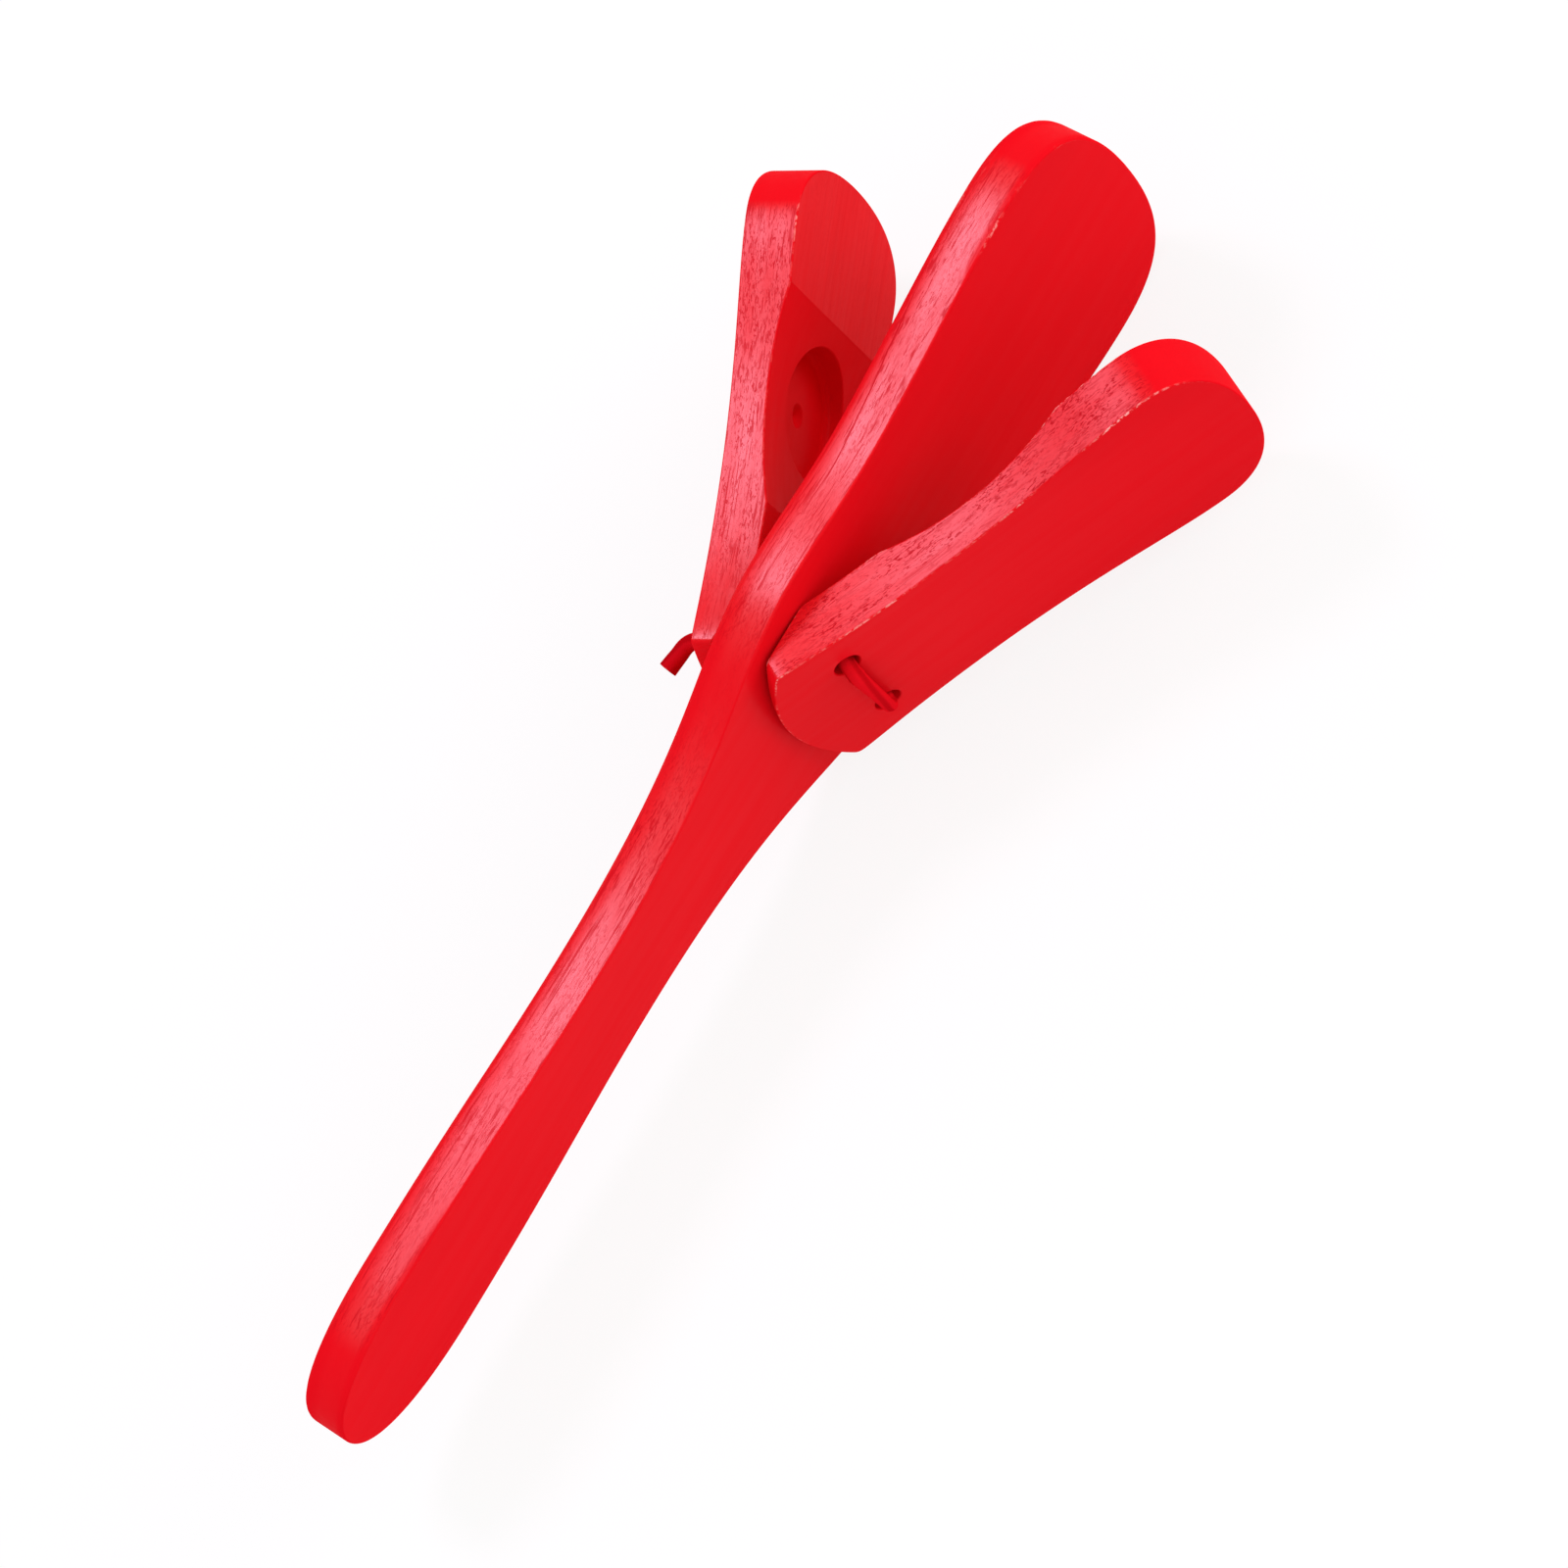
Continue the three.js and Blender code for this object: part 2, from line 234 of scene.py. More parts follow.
# lift: how far the floor is brightened to white where it is seen, which leaves a faint shadow
floorSet = {"color": (0.90, 0.90, 0.90, 1), "reach": 4.0, "lift": 0.84}


def makeFloor(s):
    bm = bmesh.new()
    bmesh.ops.create_grid(bm, x_segments=1, y_segments=1, size=s["reach"])
    mesh = bpy.data.meshes.new("paleFloor")
    bm.to_mesh(mesh)
    bm.free()
    floor = linked("paleFloor", mesh)
    material = bpy.data.materials.new("paleFloor")
    material.use_nodes = True
    tree = material.node_tree
    tree.nodes.clear()
    paint = tree.nodes.new("ShaderNodeBsdfDiffuse")
    paint.inputs["Color"].default_value = s["color"]
    glow = tree.nodes.new("ShaderNodeEmission")
    mix = tree.nodes.new("ShaderNodeMixShader")
    tree.links.new(product(tree, seenRays(tree), s["lift"]), mix.inputs["Fac"])
    tree.links.new(paint.outputs[0], mix.inputs[1])
    tree.links.new(glow.outputs[0], mix.inputs[2])
    out = tree.nodes.new("ShaderNodeOutputMaterial")
    tree.links.new(mix.outputs[0], out.inputs["Surface"])
    mesh.materials.append(material)


makeCamera(cameraSet)
makeLamps(lampSet, (cadBox[0] + cadBox[1]) / 2)
makeRoom(roomSet)
makeFloor(floorSet)
print("camera, lamps and floor placed")


# effects that the finishes share
def nodeGroup(name, inputs, outputs):
    group = bpy.data.node_groups.new(name, "ShaderNodeTree")
    for label, kind, value in inputs:
        socket = group.interface.new_socket(name=label, in_out="INPUT", socket_type=kind)
        socket.default_value = value
    for label, kind in outputs:
        group.interface.new_socket(name=label, in_out="OUTPUT", socket_type=kind)
    return group, group.nodes.new("NodeGroupInput"), group.nodes.new("NodeGroupOutput")


def placed(tree, group, **values):
    node = tree.nodes.new("ShaderNodeGroup")
    node.node_tree = group
    for label, value in values.items():
        if isinstance(value, (int, float, tuple)):
            node.inputs[label].default_value = value
        else:
            tree.links.new(value, node.inputs[label])
    return node


grainSet = {
    "lines": {"scale": (24, 3100, 3100), "detail": 2.0, "rough": 0.6, "span": (0.53, 0.61)},
    "breaks": {"scale": (130, 700, 700), "detail": 1.0, "span": (0.36, 0.54)},
    "pores": {"scale": (1000, 3700, 3700), "detail": 2.0, "rough": 0.6, "swirl": 0.8,
              "span": (0.51, 0.61)},
    "flocks": {"scale": (120, 420, 420), "detail": 2.0, "span": (0.32, 0.60), "least": 0.30},
    "streaks": {"scale": (30, 700, 700), "detail": 3.0},
    "streakHeight": 0.35,
}


# Long growth lines and short pores under thin lacquer; x runs along the board.
def makeWoodGrain(s):
    group, given, out = nodeGroup(
        "woodGrain",
        [("Vector", "NodeSocketVector", (0, 0, 0)), ("Lines", "NodeSocketFloat", 1.0),
         ("Pores", "NodeSocketFloat", 1.0)],
        [("Dark", "NodeSocketFloat"), ("Height", "NodeSocketFloat"), ("Streak", "NodeSocketFloat")])
    lines, breaks, pores, flocks, streak = [
        stretched(group, given.outputs["Vector"], s[label])
        for label in ("lines", "breaks", "pores", "flocks", "streaks")]
    lines = product(group, lines, breaks, given.outputs["Lines"])
    pores = product(group, pores, flocks, given.outputs["Pores"])
    dark = maths(group, "MAXIMUM", lines, pores)
    height = maths(group, "SUBTRACT", product(group, streak, s["streakHeight"]), dark)
    for label, value in (("Dark", dark), ("Height", height), ("Streak", streak)):
        group.links.new(value, out.inputs[label])
    return group


wearAndHighlightSet = {
    "runs": {"scale": (90, 150, 150), "detail": 3.0, "rough": 0.6, "span": (0.44, 0.62)},
    "nicks": {"scale": (1100, 1900, 1900), "detail": 3.0, "rough": 0.7, "span": (0.44, 0.60)},
}


# Lacquer worn through along a corner, in broken runs; at the paddle's tip front corner the same pale
# run is a painted highlight.
def makeEdgeWearAndHighlight(s):
    group, given, out = nodeGroup(
        "edgeWearAndHighlight",
        [("Vector", "NodeSocketVector", (0, 0, 0)), ("Corner", "NodeSocketFloat", 0.0),
         ("Amount", "NodeSocketFloat", 0.5)],
        [("Mask", "NodeSocketFloat")])
    runs, nicks = [stretched(group, given.outputs["Vector"], s[label]) for label in ("runs", "nicks")]
    rubAndHighlight = product(group, runs, nicks, given.outputs["Amount"], given.outputs["Corner"])
    group.links.new(maths(group, "MINIMUM", rubAndHighlight, 1.0), out.inputs["Mask"])
    return group


toneSet = {"scale": (26, 60, 60), "detail": 3.0, "span": (0.35, 0.70)}


# Slow change of depth in a brushed or dipped colour.
def makeTone(s):
    group, given, out = nodeGroup(
        "lacquerTone",
        [("Vector", "NodeSocketVector", (0, 0, 0)), ("Color", "NodeSocketColor", (1, 0, 0, 1)),
         ("Deep", "NodeSocketColor", (0.5, 0, 0, 1)), ("Amount", "NodeSocketFloat", 0.3)],
        [("Color", "NodeSocketColor")])
    share = product(group, stretched(group, given.outputs["Vector"], s), given.outputs["Amount"])
    color = colorMix(group, share, given.outputs["Color"], given.outputs["Deep"])
    group.links.new(color, out.inputs["Color"])
    return group


groups = {"grain": makeWoodGrain(grainSet), "wearAndHighlight": makeEdgeWearAndHighlight(wearAndHighlightSet), "tone": makeTone(toneSet)}


# one fine drying crack along the head's upper rim
def crackLine(tree, vector, s):
    x, y, z = axes(tree, vector)
    startX, startY = s["start"]
    wander = ramp(tree, stretched(tree, vector, s["wave"]), (0.0, 1.0),
                  -s["wander"] * mm, s["wander"] * mm)
    path = product(tree, maths(tree, "SUBTRACT", x, startX * mm), s["slope"])
    path = maths(tree, "ADD", maths(tree, "ADD", path, startY * mm), wander)
    off = maths(tree, "ABSOLUTE", maths(tree, "SUBTRACT", y, path), 0)
    line = mmRamp(tree, off, (s["wide"] / 2, s["wide"]), 1.0, 0.0)
    after = mmRamp(tree, x, (startX, startX + s["fadeIn"]))
    before = mmRamp(tree, x, (s["end"] - s["fadeOut"], s["end"]), 1.0, 0.0)
    run = product(tree, after, before, mmRamp(tree, z, s["above"]))
    return product(tree, line, run)


# The rim's sheen keeps off a strip along the back corner, and off the front corner near the handle's
# end and the tip. It is weaker in the dull places, each given by where it rises, falls and how far.
def sheenStrip(tree, vector, s):
    x, y = axes(tree, vector)[:2]
    back = mmRamp(tree, y, s["back"], 1.0, s["least"])
    free, held = [place * mm for place in s["front"]]
    atEnd = mmRamp(tree, x, s["handle"], held, free)
    atTip = mmRamp(tree, x, s["tip"], free, held)
    fromCorner = maths(tree, "SUBTRACT", y, maths(tree, "MAXIMUM", atEnd, atTip))
    strip = product(tree, back, mmRamp(tree, fromCorner, (0.0, s["frontBlend"]), s["least"], 1.0))
    for rise, fall, depth in s["dull"]:
        dulled = product(tree, mmRamp(tree, x, rise, 0.0, depth), mmRamp(tree, x, fall, 1.0, 0.0))
        strip = product(tree, strip, maths(tree, "SUBTRACT", 1.0, dulled))
    return strip


# broad sides are a little more polished round the neck, where a hand holds it
def facePolish(tree, vector, s):
    x = axes(tree, vector)["X"]
    toNeck = mmRamp(tree, x, s["rise"], s["atEnd"], s["atNeck"])
    return product(tree, toNeck, mmRamp(tree, x, s["fall"], 1.0, s["atTip"]))


red = {
    "color": (0.75, 0.0042, 0.0100, 1),
    "deep": (0.69, 0.0030, 0.0080, 1),
    "mottle": 0.35,
    "grainColor": (0.56, 0.003, 0.009, 1),
    # pale corner colour: worn lacquer on the leaves, a painted highlight at the paddle's tip corner
    "wornAndHighlightColor": (0.92, 0.36, 0.33, 1),
    "bandSpan": (0.2, 0.9),           # of edgeBand, from broad side to rim
    "glossSpan": (0.30, 0.95),
    "faceRough": 0.58,
    "edgeRough": 0.42,
    "specular": 0.0,                  # all of the sheen comes from the coat
    "coatRough": 0.31,
    "faceCoat": 0.09,
    "padCoat": 0.10,
    "padGrain": 0.15,
    "soakGrain": 0.08,                # shares of pores and coat left on end grain
    "soakCoat": 0.10,
    "poreDull": 0.85,                 # share of the coat that a pore takes away
    "streakSpan": (0.3, 0.7),
    "streakRough": 0.05,
    "streakCoat": 0.72,
    "relief": 0.35,
    "reliefDepth": 0.12,
    "polish": {"rise": (-95.0, -15.0), "fall": (5.0, 75.0), "atEnd": 0.9, "atNeck": 1.5, "atTip": 0.5},
}


# red lacquer on wood; turn and shift lay the grain's x along the board
def lacquer(name, s):
    material = bpy.data.materials.new(name)
    material.use_nodes = True
    tree = material.node_tree
    shader = tree.nodes["Principled BSDF"]
    where = tree.nodes.new("ShaderNodeTexCoord").outputs["Object"]
    turn = tree.nodes.new("ShaderNodeMapping")
    turn.inputs["Location"].default_value = s["shift"]
    turn.inputs["Rotation"].default_value = (0, 0, math.radians(s["turn"]))
    tree.links.new(where, turn.inputs["Vector"])
    along = turn.outputs["Vector"]
    band, corner, endGrain, pad = [attribute(tree, label) for label in sideMarks]
    grain = placed(tree, groups["grain"], Vector=along, Lines=s["lines"], Pores=s["pores"])
    tone = placed(tree, groups["tone"], Vector=along, Color=s["color"], Deep=s["deep"],
                  Amount=s["mottle"])
    wearAndHighlight = placed(tree, groups["wearAndHighlight"], Vector=along, Corner=corner, Amount=s["wearAndHighlight"])

    shown = ramp(tree, band, s["bandSpan"], s["faceGrain"], 1.0)
    shown = maths(tree, "ADD", shown, product(tree, pad, s["padGrain"]))
    shown = product(tree, shown, ramp(tree, endGrain, s["soak"], 1.0, s["soakGrain"]))
    dark = product(tree, grain.outputs["Dark"], shown)
    if "crack" in s:
        dark = maths(tree, "MAXIMUM", dark, crackLine(tree, where, s["crack"]))
    color = colorMix(tree, dark, tone.outputs["Color"], s["grainColor"])
    # pale corner: worn lacquer on the leaves, painted highlight at the paddle's tip
    color = colorMix(tree, wearAndHighlight.outputs["Mask"], color, s["wornAndHighlightColor"])
    tree.links.new(color, shader.inputs["Base Color"])

    streak = grain.outputs["Streak"]
    rough = maths(tree, "ADD", ramp(tree, band, s["bandSpan"], s["faceRough"], s["edgeRough"]),
                  ramp(tree, streak, s["streakSpan"], -s["streakRough"], s["streakRough"]))
    tree.links.new(rough, shader.inputs["Roughness"])
    shader.inputs["Specular IOR Level"].default_value = s["specular"]

    gloss = ramp(tree, band, s["glossSpan"], 0.0, s["edgeCoat"] - s["faceCoat"])
    if "sheen" in s:
        gloss = product(tree, gloss, sheenStrip(tree, where, s["sheen"]))
    if "tipFade" in s:
        start, end, share = s["tipFade"]
        gloss = product(tree, gloss, mmRamp(tree, axes(tree, along)["X"], (start, end), 1.0, share))
    gloss = maths(tree, "ADD", gloss, product(tree, pad, s["padCoat"]))
    polish = facePolish(tree, where, s["polish"])
    gloss = maths(tree, "ADD", gloss, product(tree, polish, s["faceCoat"]))
    soaked = ramp(tree, endGrain, s["soak"], 1.0, s["soakCoat"])
    clear = maths(tree, "SUBTRACT", 1.0, product(tree, dark, s["poreDull"]))
    streaky = ramp(tree, streak, s["streakSpan"], s["streakCoat"], 1.0)
    tree.links.new(product(tree, gloss, soaked, clear, streaky), shader.inputs["Coat Weight"])
    shader.inputs["Coat Roughness"].default_value = s["coatRough"]

    bump = tree.nodes.new("ShaderNodeBump")
    bump.inputs["Strength"].default_value = s["relief"]
    bump.inputs["Distance"].default_value = s["reliefDepth"] * mm
    tree.links.new(product(tree, grain.outputs["Height"], shown), bump.inputs["Height"])
    tree.links.new(bump.outputs["Normal"], shader.inputs["Normal"])
    return material


# sizes in mm, in the row frame or in a leaf's own frame
tieSet = {
    "cord": 2.5,
    "pitch": 15.4,              # between the two holes
    "holePlay": 0.75,
    "holeSides": 40,
    "seat": 0.3,                # gap to the boards
    "knotGap": 0.5,
    "tieAt": 25.8,              # row x of the tie line
    "rise": 23.7,               # row z of the boards' middle
    "boardThick": 7.6,
    "leafThick": 7.5,
    "splay": 25.2,
    "rearSlip": 1.0,
    "rimSteps": 4,              # points round a hole's rim, and round a bight of the knot
    "bightSteps": 8,
    "crossing": (0.64, 1.6),    # where the upper strand comes down to the knot, in cord widths
    "longTail": (6.9, 6.3, 1.2),
    "shortTail": (7.0, 12.0),
    # shares of the way to a tail's end, in x, y and z
    "longBends": [(-0.03, 0.12, 1), (-0.06, 0.32, 1.33), (0.04, 0.55, 1.2), (0.52, 0.79, 1.08),
                  (1, 1, 1)],
    "shortBends": [(0.09, 0, 0.34), (0.4, 0.33, 0.67), (1, 1, 1)],
    "loopSwell": {4: 1.02, 5: 1.08, 7: 0.84, 8: 0.82, 9: 0.86, 10: 0.94},    # fullness by point
    "endSwell": [1.04, 1.10, 1.16],
    "lobes": 3,
    "lobeDepth": 0.05,
    "lay": 70.0,                # length of one turn of the twist
    "sides": 24,
    "steps": 6,                 # along the cord, from point to point
    "sharpFrom": 50.0,
    "weld": 0.001,
}
ridgeOut = tieSet["boardThick"] / 2 + tieSet["seat"]
holeRadius = tieSet["cord"] / 2 + tieSet["holePlay"]
holeHeights = (tieSet["pitch"] / 2, -tieSet["pitch"] / 2)


# from a leaf's own frame, ridge on z, to the row frame: side is -1 in front, 1 behind
def leafPlace(side):
    s = tieSet
    slip = s["rearSlip"] if side > 0 else 0
    place = Matrix.Translation(Vector((s["tieAt"] - slip, side * ridgeOut, s["rise"])))
    return place @ Matrix.Rotation(side * math.radians(s["splay"]), 4, "Z")


def cordProfile(s):
    data = bpy.data.curves.new("cordProfile", "CURVE")
    data.dimensions = "2D"
    spline = data.splines.new("POLY")
    spline.points.add(s["sides"] - 1)
    for i, point in enumerate(spline.points):
        angle = 2 * math.pi * i / s["sides"]
        radius = s["cord"] / 2 * mm * (1 - s["lobeDepth"] * (1 - math.cos(s["lobes"] * angle)))
        point.co = (radius * math.cos(angle), radius * math.sin(angle), 0, 1)
    spline.use_cyclic_u = True
    return linked("cordProfile", data)


# A cord through points in mm, twisted along its length; swell gives its fullness at each point.
# valley rises to 1 in the grooves between the lobes.
def cordMesh(name, points, place, swell, profile, s):
    data = bpy.data.curves.new(name, "CURVE")
    data.dimensions = "3D"
    data.bevel_mode = "OBJECT"
    data.bevel_object = profile
    data.use_fill_caps = True
    data.resolution_u = s["steps"]
    data.twist_mode = "MINIMUM"
    spline = data.splines.new("BEZIER")
    spline.bezier_points.add(len(points) - 1)
    run = 0.0
    for i, knot in enumerate(spline.bezier_points):
        if i:
            run += (Vector(points[i]) - Vector(points[i - 1])).length
        knot.co = place @ Vector(points[i]) * mm
        knot.handle_left_type = knot.handle_right_type = "AUTO"
        knot.tilt = 2 * math.pi * run / s["lay"]
        knot.radius = swell[i]
    curve = linked(name + "Line", data)
    mesh = evaluatedMesh(curve)
    bpy.data.objects.remove(curve)
    bm = bmesh.new()
    bm.from_mesh(mesh)
    valley = bm.verts.layers.float.new("valley")
    for i, vert in enumerate(bm.verts):
        vert[valley] = (1 - math.cos(s["lobes"] * 2 * math.pi * (i % s["sides"]) / s["sides"])) / 2
    bmesh.ops.remove_doubles(bm, verts=bm.verts, dist=s["weld"] * mm)
    bmesh.ops.recalc_face_normals(bm, faces=bm.faces)
    bm.to_mesh(mesh)
    bm.free()
    mesh.name = name
    shadeSmooth(mesh, s["sharpFrom"])
    return mesh


# the loop, the upper and the lower strand outside a leaf's face, and the height of the legs
def tiePaths(s):
    radius = s["cord"] / 2
    legZ = s["pitch"] / 2 - s["holePlay"] + s["seat"]
    over = radius + s["seat"]
    rimZ = legZ - over
    legEnd = -s["leafThick"] + radius * math.sin(math.radians(s["splay"])) + s["seat"] / 2
    quarter = [math.pi / 2 * i / s["rimSteps"] for i in range(s["rimSteps"] + 1)]

    def rim(side):
        leg = [(0, legEnd, side * legZ), (0, legEnd / 2, side * legZ)]
        return leg + [(0, over * math.sin(a), side * (rimZ + over * math.cos(a))) for a in quarter]

    loop = rim(1) + [(0, over, 0)] + rim(-1)[::-1]
    bight = s["cord"] + s["knotGap"]
    bightOut = over + bight
    lowZ = -rimZ + s["knotGap"]
    highZ = lowZ + bight
    half = [math.pi * i / s["bightSteps"] for i in range(s["bightSteps"] + 1)]
    aside, above = [share * s["cord"] for share in s["crossing"]]
    upper = rim(1) + [(aside, bightOut / 2, highZ + above)]
    upper += [(bight * math.cos(a), bightOut, highZ - bight * math.sin(a)) for a in half]
    lower = rim(-1)
    lower += [(0, bightOut - bight * math.cos(a), lowZ + bight * math.sin(a)) for a in half]

    def tail(start, end, bends):
        return [tuple(p + (q - p) * k for p, q, k in zip(start, end, bend)) for bend in bends]

    back, away, rise = s["longTail"]
    upper += tail(upper[-1], (-back, bightOut + away, highZ + rise), s["longBends"])
    onward, drop = s["shortTail"]
    lower += tail(lower[-1], (onward, bightOut + bight - s["cord"], -drop), s["shortBends"])
    return loop, upper, lower, legZ


cordLook = {
    "color": (0.72, 0.005, 0.012, 1),
    "deep": (0.60, 0.003, 0.008, 1),
    "mottle": 0.5,
    # colour painted into the grooves between the lobes: painted shade
    "creaseShade": (0.36, 0.001, 0.003, 1),
    "creaseShadeShare": 0.6,
    "grooveSpan": (0.35, 1.0),
    "fuzz": {"scale": (2600, 2600, 2600), "detail": 3.0, "rough": 0.6},
    "fuzzSpan": (0.3, 0.7),
    "fuzzRough": 0.08,
    "fuzzHeight": 0.4,
    "rough": 0.55,
    "specular": 0.0,
    "relief": 0.35,
    "reliefDepth": 0.25,
}
shadedEndLook = dict(cordLook, color=(0.58, 0.004, 0.010, 1), deep=(0.46, 0.002, 0.006, 1))   # darker copy for the knot's ends: painted shade


def cordFinish(name, s):
    material = bpy.data.materials.new(name)
    material.use_nodes = True
    tree = material.node_tree
    shader = tree.nodes["Principled BSDF"]
    where = tree.nodes.new("ShaderNodeTexCoord").outputs["Object"]
    tone = placed(tree, groups["tone"], Vector=where, Color=s["color"], Deep=s["deep"],
                  Amount=s["mottle"])
    fuzz = stretched(tree, where, s["fuzz"])
    groove = ramp(tree, attribute(tree, "valley"), s["grooveSpan"])
    # the grooves between the lobes are painted darker, a painted shade in the creases
    color = colorMix(tree, product(tree, groove, s["creaseShadeShare"]), tone.outputs["Color"], s["creaseShade"])
    tree.links.new(color, shader.inputs["Base Color"])
    rough = ramp(tree, fuzz, s["fuzzSpan"], s["rough"] - s["fuzzRough"], s["rough"] + s["fuzzRough"])
    tree.links.new(rough, shader.inputs["Roughness"])
    shader.inputs["Specular IOR Level"].default_value = s["specular"]
    bump = tree.nodes.new("ShaderNodeBump")
    bump.inputs["Strength"].default_value = s["relief"]
    bump.inputs["Distance"].default_value = s["reliefDepth"] * mm
    height = maths(tree, "SUBTRACT", product(tree, fuzz, s["fuzzHeight"]), groove)
    tree.links.new(height, bump.inputs["Height"])
    tree.links.new(bump.outputs["Normal"], shader.inputs["Normal"])
    return material


def makeTie(s):
    loop, upper, lower, legZ = tiePaths(s)
    # the knot's ends get the darker finish, which paints shade onto them
    plainCord, shadedEnds = cordFinish("tieCord", cordLook), cordFinish("tieCordShadedEnds", shadedEndLook)
    profile = cordProfile(s)
    out, reach = s["leafThick"], s["boardThick"] / 2

    def beside(points, side):
        return [(x, side * (out + y), z) for x, y, z in points]

    puffed = [s["loopSwell"].get(i, 1.0) for i in range(len(loop))]
    frayed = [1.0] * (len(upper) - len(s["endSwell"])) + s["endSwell"]
    even = [1.0] * len(lower)
    legs = [[(0, y, side * legZ) for y in (-reach, 0, reach)] for side in (1, -1)]
    middle = Matrix.Translation(Vector((s["tieAt"], 0, s["rise"])))
    front, rear = leafPlace(-1), leafPlace(1)
    made = [
        ("tieFrontLoop", beside(loop, -1), front, puffed, plainCord, "front_leaf", "cord_front_loop"),
        ("tieLongEnd", beside(upper, 1), rear, frayed, shadedEnds, "rear_leaf", "cord_upper_strand"),
        ("tieShortEnd", beside(lower, 1), rear, even, shadedEnds, "rear_leaf", "cord_lower_strand"),
        ("tieUpperLeg", legs[0], middle, even, plainCord, "paddle", "cord_upper_leg"),
        ("tieLowerLeg", legs[1], middle, even, plainCord, "paddle", "cord_lower_leg"),
    ]
    for name, points, place, swell, finish, body, node in made:
        mesh = cordMesh(name, points, place, swell, profile, s)
        mesh.materials.clear()
        mesh.materials.append(finish)
        piece = linked(name, mesh)
        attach(piece, body)
        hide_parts(node)
    bpy.data.objects.remove(profile)


makeTie(tieSet)
print("tie cord laid and knotted")


# boards: each run of an outline is a curve of four points
def runPoints(runs, steps):
    points = []
    for run in runs:
        flat = [Vector((*p, 0)) for p in run]
        found = [(p.x, p.y) for p in interpolate_bezier(*flat, steps + 1)]
        points += found if not points else found[1:]
    return points


# runs between stations of (at, half width, lead, trail), level at each station
def sideRuns(stations):
    runs = []
    for (at, half, lead, _), (nextAt, nextHalf, _, trail) in zip(stations, stations[1:]):
        run = nextAt - at
        runs.append(((at, half), (at + run * lead, half), (nextAt - run * trail, nextHalf),
                     (nextAt, nextHalf)))
    return runs


# the rounded end of an outline, from the axis to its full half width
def endRun(axisAt, wideAt, half, full):
    run = wideAt - axisAt
    return ((axisAt, 0), (axisAt, full * half), (wideAt - full * run, half), (wideAt, half))


# a closed row of points, filled and pulled along vec
def slab(points, vec):
    bm = bmesh.new()
    row = [bm.verts.new(p) for p in points]
    edges = [bm.edges.new(pair) for pair in zip(row, row[1:] + row[:1])]
    bmesh.ops.edgeloop_fill(bm, edges=edges)
    pulled = bmesh.ops.extrude_face_region(bm, geom=bm.faces[:])
    moved = [g for g in pulled["geom"] if isinstance(g, bmesh.types.BMVert)]
    bmesh.ops.translate(bm, vec=vec, verts=moved)
    bmesh.ops.recalc_face_normals(bm, faces=bm.faces)
    return bm


# a board from y0 to y1; upper and lower are its half outlines on both sides of the axis
def prism(upper, lower, y0, y1):
    around = upper + [(x, -z) for x, z in lower[-2:0:-1]]
    return slab([(x, y0, z) for x, z in around], (0, y1 - y0, 0))


# a round cutter along y, tapered to tip at y0 where that is given
def rod(x, z, radius, y0, y1, segments, tip=None):
    bm = bmesh.new()
    across = Matrix.Rotation(math.radians(-90), 4, "X")
    place = Matrix.Translation(Vector((x, (y0 + y1) / 2, z)))
    bmesh.ops.create_cone(bm, cap_ends=True, segments=segments, radius1=radius if tip is None else tip,
                          radius2=radius, depth=y1 - y0, matrix=place @ across)
    return bm


def tempObject(bm):
    mesh = bpy.data.meshes.new("work")
    bm.to_mesh(mesh)
    bm.free()
    return linked("work", mesh)


def unpacked(piece):
    bm = bmesh.new()
    bm.from_mesh(piece.data)
    bpy.data.objects.remove(piece)
    return bm


def carve(piece, bm, how="DIFFERENCE"):
    cutter = tempObject(bm)
    tool = piece.modifiers.new("carve", "BOOLEAN")
    tool.object = cutter
    tool.operation = how
    tool.solver = "EXACT"
    done = evaluatedMesh(piece)
    piece.modifiers.clear()
    piece.data = done
    bpy.data.objects.remove(cutter)


def softened(bm, edges, offset, segments):
    made = bmesh.ops.bevel(bm, geom=edges, offset=offset, offset_type="OFFSET", segments=segments,
                           profile=0.5, affect="EDGES", clamp_overlap=False, material=-1)
    return set(made["faces"])


sideMarks = ("edgeBand", "corner", "endGrain", "pad")
markSet = {
    "padFacing": 0.995,         # a face of the pad looks at the board at least this squarely
    "broadFacing": 0.96,        # a face that looks this squarely to a side has no end grain
    "cornerLean": 45.0,         # degrees, where a softened corner is rubbed most
    "cornerGain": 1.5,
    "grainLoss": 1.3,           # how soon the rub ends where the rim turns across the grain
    "spotGain": 3.0,
    "tiny": 1e-6,
}


